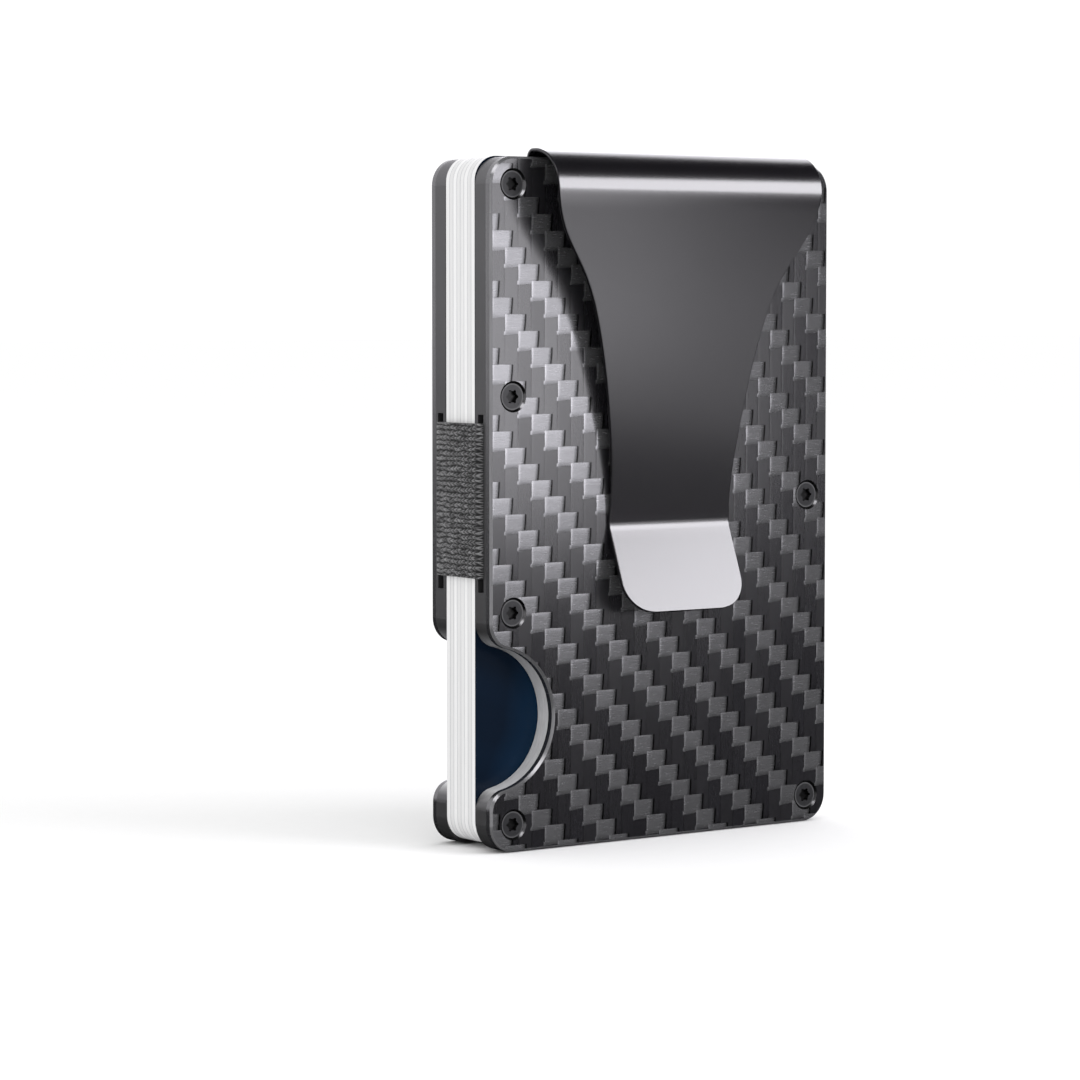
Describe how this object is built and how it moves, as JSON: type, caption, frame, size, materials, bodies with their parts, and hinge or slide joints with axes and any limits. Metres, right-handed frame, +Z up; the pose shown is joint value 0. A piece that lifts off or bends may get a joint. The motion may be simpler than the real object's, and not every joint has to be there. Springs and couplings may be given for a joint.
{
  "type": "money clip",
  "caption": "Slim card wallet: two rigid woven-carbon panels, elastic straps round a card stack, thumb notches, and a sprung steel clip on the front for banknotes.",
  "frame": {"origin": "middle of the footprint of the wallet standing on its short bottom edge, on the surface it stands on", "axes": "+X across the wallet to its open side, away from the thumb notches; +Y from the panel with the clip to the rear panel; +Z up along the long edges to the end that the clip bends over"},
  "size_m": [0.0546, 0.0184, 0.0873],
  "materials": {
    "carbon_weave": "twill weave under satin resin",
    "dark_anodised": "dark satin",
    "black_screw": "black oxide",
    "peg_steel": "turned",
    "clip_steel": "dark satin spring steel",
    "elastic": "woven elastic webbing",
    "white_card": "satin",
    "navy_card": "laminated print"
  },
  "bodies": {
    "rear_panel": {"rear_cover": "carbon_weave", "rear_inner_plate": "dark_anodised", "rear_cover_screws": "black_screw", "rear_strap_pegs": "peg_steel", "end_strap_rear_run": "elastic", "side_strap_rear_tail": "elastic", "side_strap_bridge": "elastic", "end_strap_top_bridge": "elastic", "end_strap_bottom_bridge": "elastic"},
    "front_panel": {"front_cover": "carbon_weave", "front_inner_plate": "dark_anodised", "front_cover_screws": "black_screw", "front_strap_pegs": "peg_steel", "clip_root": "clip_steel", "clip_screws": "black_screw", "end_strap_front_run": "elastic", "side_strap_front_tail": "elastic"},
    "clip_spring": {"clip_arm": "clip_steel"},
    "card_1_body": {"card_1": "navy_card"},
    "card_2_body": {"card_2": "white_card"},
    "card_3_body": {"card_3": "white_card"},
    "card_4_body": {"card_4": "white_card"},
    "card_5_body": {"card_5": "white_card"},
    "card_6_body": {"card_6": "white_card"},
    "card_7_body": {"card_7": "white_card"},
    "card_8_body": {"card_8": "white_card"}
  },
  "joints": [
    {"name": "panel_spread", "type": "slide", "parent": "rear_panel", "child": "front_panel", "axis": [0, -1, 0], "range_m": [0, 0.003], "stiffness_N_per_m": 500, "springref_m": -0.006, "deforming": ["side_strap_bridge", "end_strap_top_bridge", "end_strap_bottom_bridge"]},
    {"name": "clip_flex", "type": "hinge", "parent": "front_panel", "child": "clip_spring", "pos_m": [0.0005, -0.00392, 0.08718], "axis": [-1, 0, 0], "range_deg": [0, 6], "stiffness_Nm_per_rad": 0.8, "springref_deg": -2.86},
    {"name": "card_1_slide", "type": "slide", "parent": "rear_panel", "child": "card_1_body", "axis": [1, 0, 0], "range_m": [0, 0.056]},
    {"name": "card_2_slide", "type": "slide", "parent": "rear_panel", "child": "card_2_body", "axis": [1, 0, 0], "range_m": [0, 0.056]},
    {"name": "card_3_slide", "type": "slide", "parent": "rear_panel", "child": "card_3_body", "axis": [1, 0, 0], "range_m": [0, 0.056]},
    {"name": "card_4_slide", "type": "slide", "parent": "rear_panel", "child": "card_4_body", "axis": [1, 0, 0], "range_m": [0, 0.056]},
    {"name": "card_5_slide", "type": "slide", "parent": "rear_panel", "child": "card_5_body", "axis": [1, 0, 0], "range_m": [0, 0.056]},
    {"name": "card_6_slide", "type": "slide", "parent": "rear_panel", "child": "card_6_body", "axis": [1, 0, 0], "range_m": [0, 0.056]},
    {"name": "card_7_slide", "type": "slide", "parent": "rear_panel", "child": "card_7_body", "axis": [1, 0, 0], "range_m": [0, 0.056]},
    {"name": "card_8_slide", "type": "slide", "parent": "rear_panel", "child": "card_8_body", "axis": [1, 0, 0], "range_m": [0, 0.056]}
  ]
}
